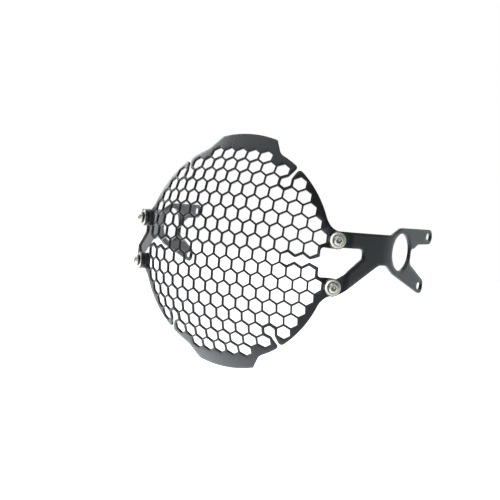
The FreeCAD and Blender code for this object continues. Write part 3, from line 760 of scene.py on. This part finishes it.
# Blackened steel; on the lock washer its dark tone is also painted shade for the gap under the screw head.
black_steel = bare_steel("black_steel", (0.050, 0.049, 0.048), (0.085, 0.083, 0.080), 0.42)
dark_rubber = rubber("black_rubber")
face_height = sheet / 2.0
seat = face_height + spacer_thick + plate
stack = (
    ("press_nut", nut_form(), face_height, black_steel, "black_steel"),
    ("spacer", ring_form(spacer_radius, nut_radius + nut_clearance, spacer_thick, 0.25), face_height,
     dark_rubber, "black_rubber"),
    ("washer", ring_form(washer_radius, washer_bore, washer_thick, 0.18), seat, painted_lit_washer_steel, "stainless"),
    ("lock_washer", lock_form(), seat + washer_thick, black_steel, "black_steel"),
    ("screw", screw_form(), seat + washer_thick + lock_thick, screw_steel, "stainless"),
)
for side, side_name in ((1.0, "right"), (-1.0, "left")):
    for level, level_name in ((1.0, "upper"), (-1.0, "lower")):
        for name, (points, faces), distance, material, slot_name in stack:
            cad_name = name + "_" + side_name + "_" + level_name
            placed = on_stack(points, side, level, distance)
            add_piece("fine_" + cad_name, placed, faces, material, cad_name)


# The studio: a white floor well below the hung guard, a white surround and three soft lamps. Seen in the
# guard's gloss, the floor has a painted glow below its left side and behind, emitted for glossy rays only,
# and the surround is bright behind.
drop = -0.26
reach = 6.0
painted_glow_centre = (-0.22, 0.12, drop)
painted_glow_back = (-0.4, 0.9, 0.0)
surround_back = (-0.174, 0.985, 0.0)
surround_low = 0.18
surround_rise = 2.6
surround_power = 3.5
floor_mesh = bpy.data.meshes.new("floor")
corners = [(-reach, -reach, drop), (reach, -reach, drop), (reach, reach, drop), (-reach, reach, drop)]
floor_mesh.from_pydata(corners, [], [(0, 1, 2, 3)])
floor = bpy.data.objects.new("floor", floor_mesh)
bpy.context.scene.collection.objects.link(floor)


def worked_out(tree, kind, operation, *values):
    """Add a Math or Vector Math node; each value is a plain one or the output of another node."""
    made = tree.nodes.new(kind)
    made.operation = operation
    for socket, value in zip(made.inputs, values):
        if isinstance(value, bpy.types.NodeSocket):
            tree.links.new(value, socket)
        else:
            socket.default_value = value
    return made.outputs["Value"]


floor_paint, tree, paint, where = new_finish("floor_paint")
paint.inputs["Base Color"].default_value = (0.94, 0.94, 0.94, 1.0)
paint.inputs["Roughness"].default_value = 0.8
# Painted reflection: for glossy rays only, the floor glows in a pool below the guard's left side and more
# towards the back; camera rays see it plain white.
away = worked_out(tree, "ShaderNodeVectorMath", "DISTANCE", where, painted_glow_centre)
painted_glow_span = {"From_Min": 0.12, "From_Max": 0.52, "To_Min": 1.7, "To_Max": 0.0}
painted_glow_pool = node(tree, "ShaderNodeMapRange", Value=away, **painted_glow_span)
back = worked_out(tree, "ShaderNodeVectorMath", "DOT_PRODUCT", where, painted_glow_back)
painted_far_glow_span = {"From_Min": -0.15, "From_Max": 0.10, "To_Min": 0.1, "To_Max": 0.75}
painted_far_glow = node(tree, "ShaderNodeMapRange", Value=back, **painted_far_glow_span)
painted_glow_sum = worked_out(tree, "ShaderNodeMath", "ADD", painted_glow_pool.outputs["Result"], painted_far_glow.outputs["Result"])
seen = tree.nodes.new("ShaderNodeLightPath").outputs
glossy_ray, camera_ray = seen["Is Glossy Ray"], seen["Is Camera Ray"]
white_and_painted_glow = worked_out(tree, "ShaderNodeMath", "MULTIPLY_ADD", glossy_ray, painted_glow_sum, camera_ray)
glow = node(tree, "ShaderNodeEmission", Color=(1.0, 1.0, 1.0, 1.0), Strength=white_and_painted_glow)
both = tree.nodes.new("ShaderNodeAddShader")
tree.links.new(paint.outputs[0], both.inputs[0])
tree.links.new(glow.outputs[0], both.inputs[1])
tree.links.new(both.outputs[0], tree.nodes["Material Output"].inputs["Surface"])
floor_mesh.materials.append(floor_paint)

world = bpy.data.worlds.new("surround")
world.use_nodes = True
bpy.context.scene.world = world
tree = world.node_tree
ground = tree.nodes["Background"]
ground.inputs["Color"].default_value = (0.92, 0.98, 1.0, 1.0)
where = tree.nodes.new("ShaderNodeTexCoord").outputs["Generated"]
behind = worked_out(tree, "ShaderNodeVectorMath", "DOT_PRODUCT", where, surround_back)
level = node(tree, "ShaderNodeMapRange", Value=behind)
curve = worked_out(tree, "ShaderNodeMath", "POWER", level.outputs["Result"], surround_power)
lift = worked_out(tree, "ShaderNodeMath", "MULTIPLY_ADD", curve, surround_rise, surround_low)
tree.links.new(lift, ground.inputs["Strength"])
white = node(tree, "ShaderNodeBackground", Color=(1.0, 1.0, 1.0, 1.0), Strength=1.0)
seen = tree.nodes.new("ShaderNodeLightPath").outputs
choose = tree.nodes.new("ShaderNodeMixShader")
tree.links.new(seen["Is Camera Ray"], choose.inputs[0])
tree.links.new(ground.outputs[0], choose.inputs[1])
tree.links.new(white.outputs[0], choose.inputs[2])
tree.links.new(choose.outputs[0], tree.nodes["World Output"].inputs["Surface"])

for name, place, power, size in (("lamp_front_right", (1.0, -1.4, 0.1), 4.8, 0.8),
                                 ("lamp_left", (-1.1, 0.3, 0.6), 9.0, 0.8),
                                 ("lamp_over", (-0.4, -0.4, 1.2), 7.0, 1.4)):
    light = bpy.data.lights.new(name, "AREA")
    light.energy = power
    light.size = size
    lamp = bpy.data.objects.new(name, light)
    aim = (-Vector(place)).to_track_quat("-Z", "Y").to_matrix().to_4x4()
    lamp.matrix_world = Matrix.Translation(place) @ aim
    bpy.context.scene.collection.objects.link(lamp)


# The camera: it stands to the guard's right front, level with it and rolled a little to the left.
# The angles, shift and distance are those that the mesh's own pattern gives in the photograph: radians
# and mesh pitches, on axes that point right, up and forwards.
yaw, pitch_up, roll = -0.5287, -0.0226, -0.1119
shift_right, shift_up, distance = -2.0387, -0.0028, 72.3056
turn = Matrix.Rotation(yaw, 3, "Y") @ Matrix.Rotation(pitch_up, 3, "X") @ Matrix.Rotation(roll, 3, "Z")
turn_back = turn.transposed()
to_part = Matrix(((1.0, 0.0, 0.0), (0.0, 0.0, -1.0), (0.0, 1.0, 0.0)))
eye_point = to_part @ (turn_back @ Vector((-shift_right, -shift_up, distance))) * (pitch * mm)
eye_point.y += sheet / 2.0 * mm
camera_data = bpy.data.cameras.new("camera")
camera_data.sensor_width = 36.0
focal_pixels, frame_pixels = 1056.2574, 500.0
camera_data.lens = focal_pixels * camera_data.sensor_width / frame_pixels
camera = bpy.data.objects.new("camera", camera_data)
camera.matrix_world = Matrix.Translation(eye_point) @ (to_part @ turn_back).to_4x4()
bpy.context.scene.collection.objects.link(camera)
bpy.context.scene.camera = camera

bpy.context.scene.view_settings.view_transform = "Standard"
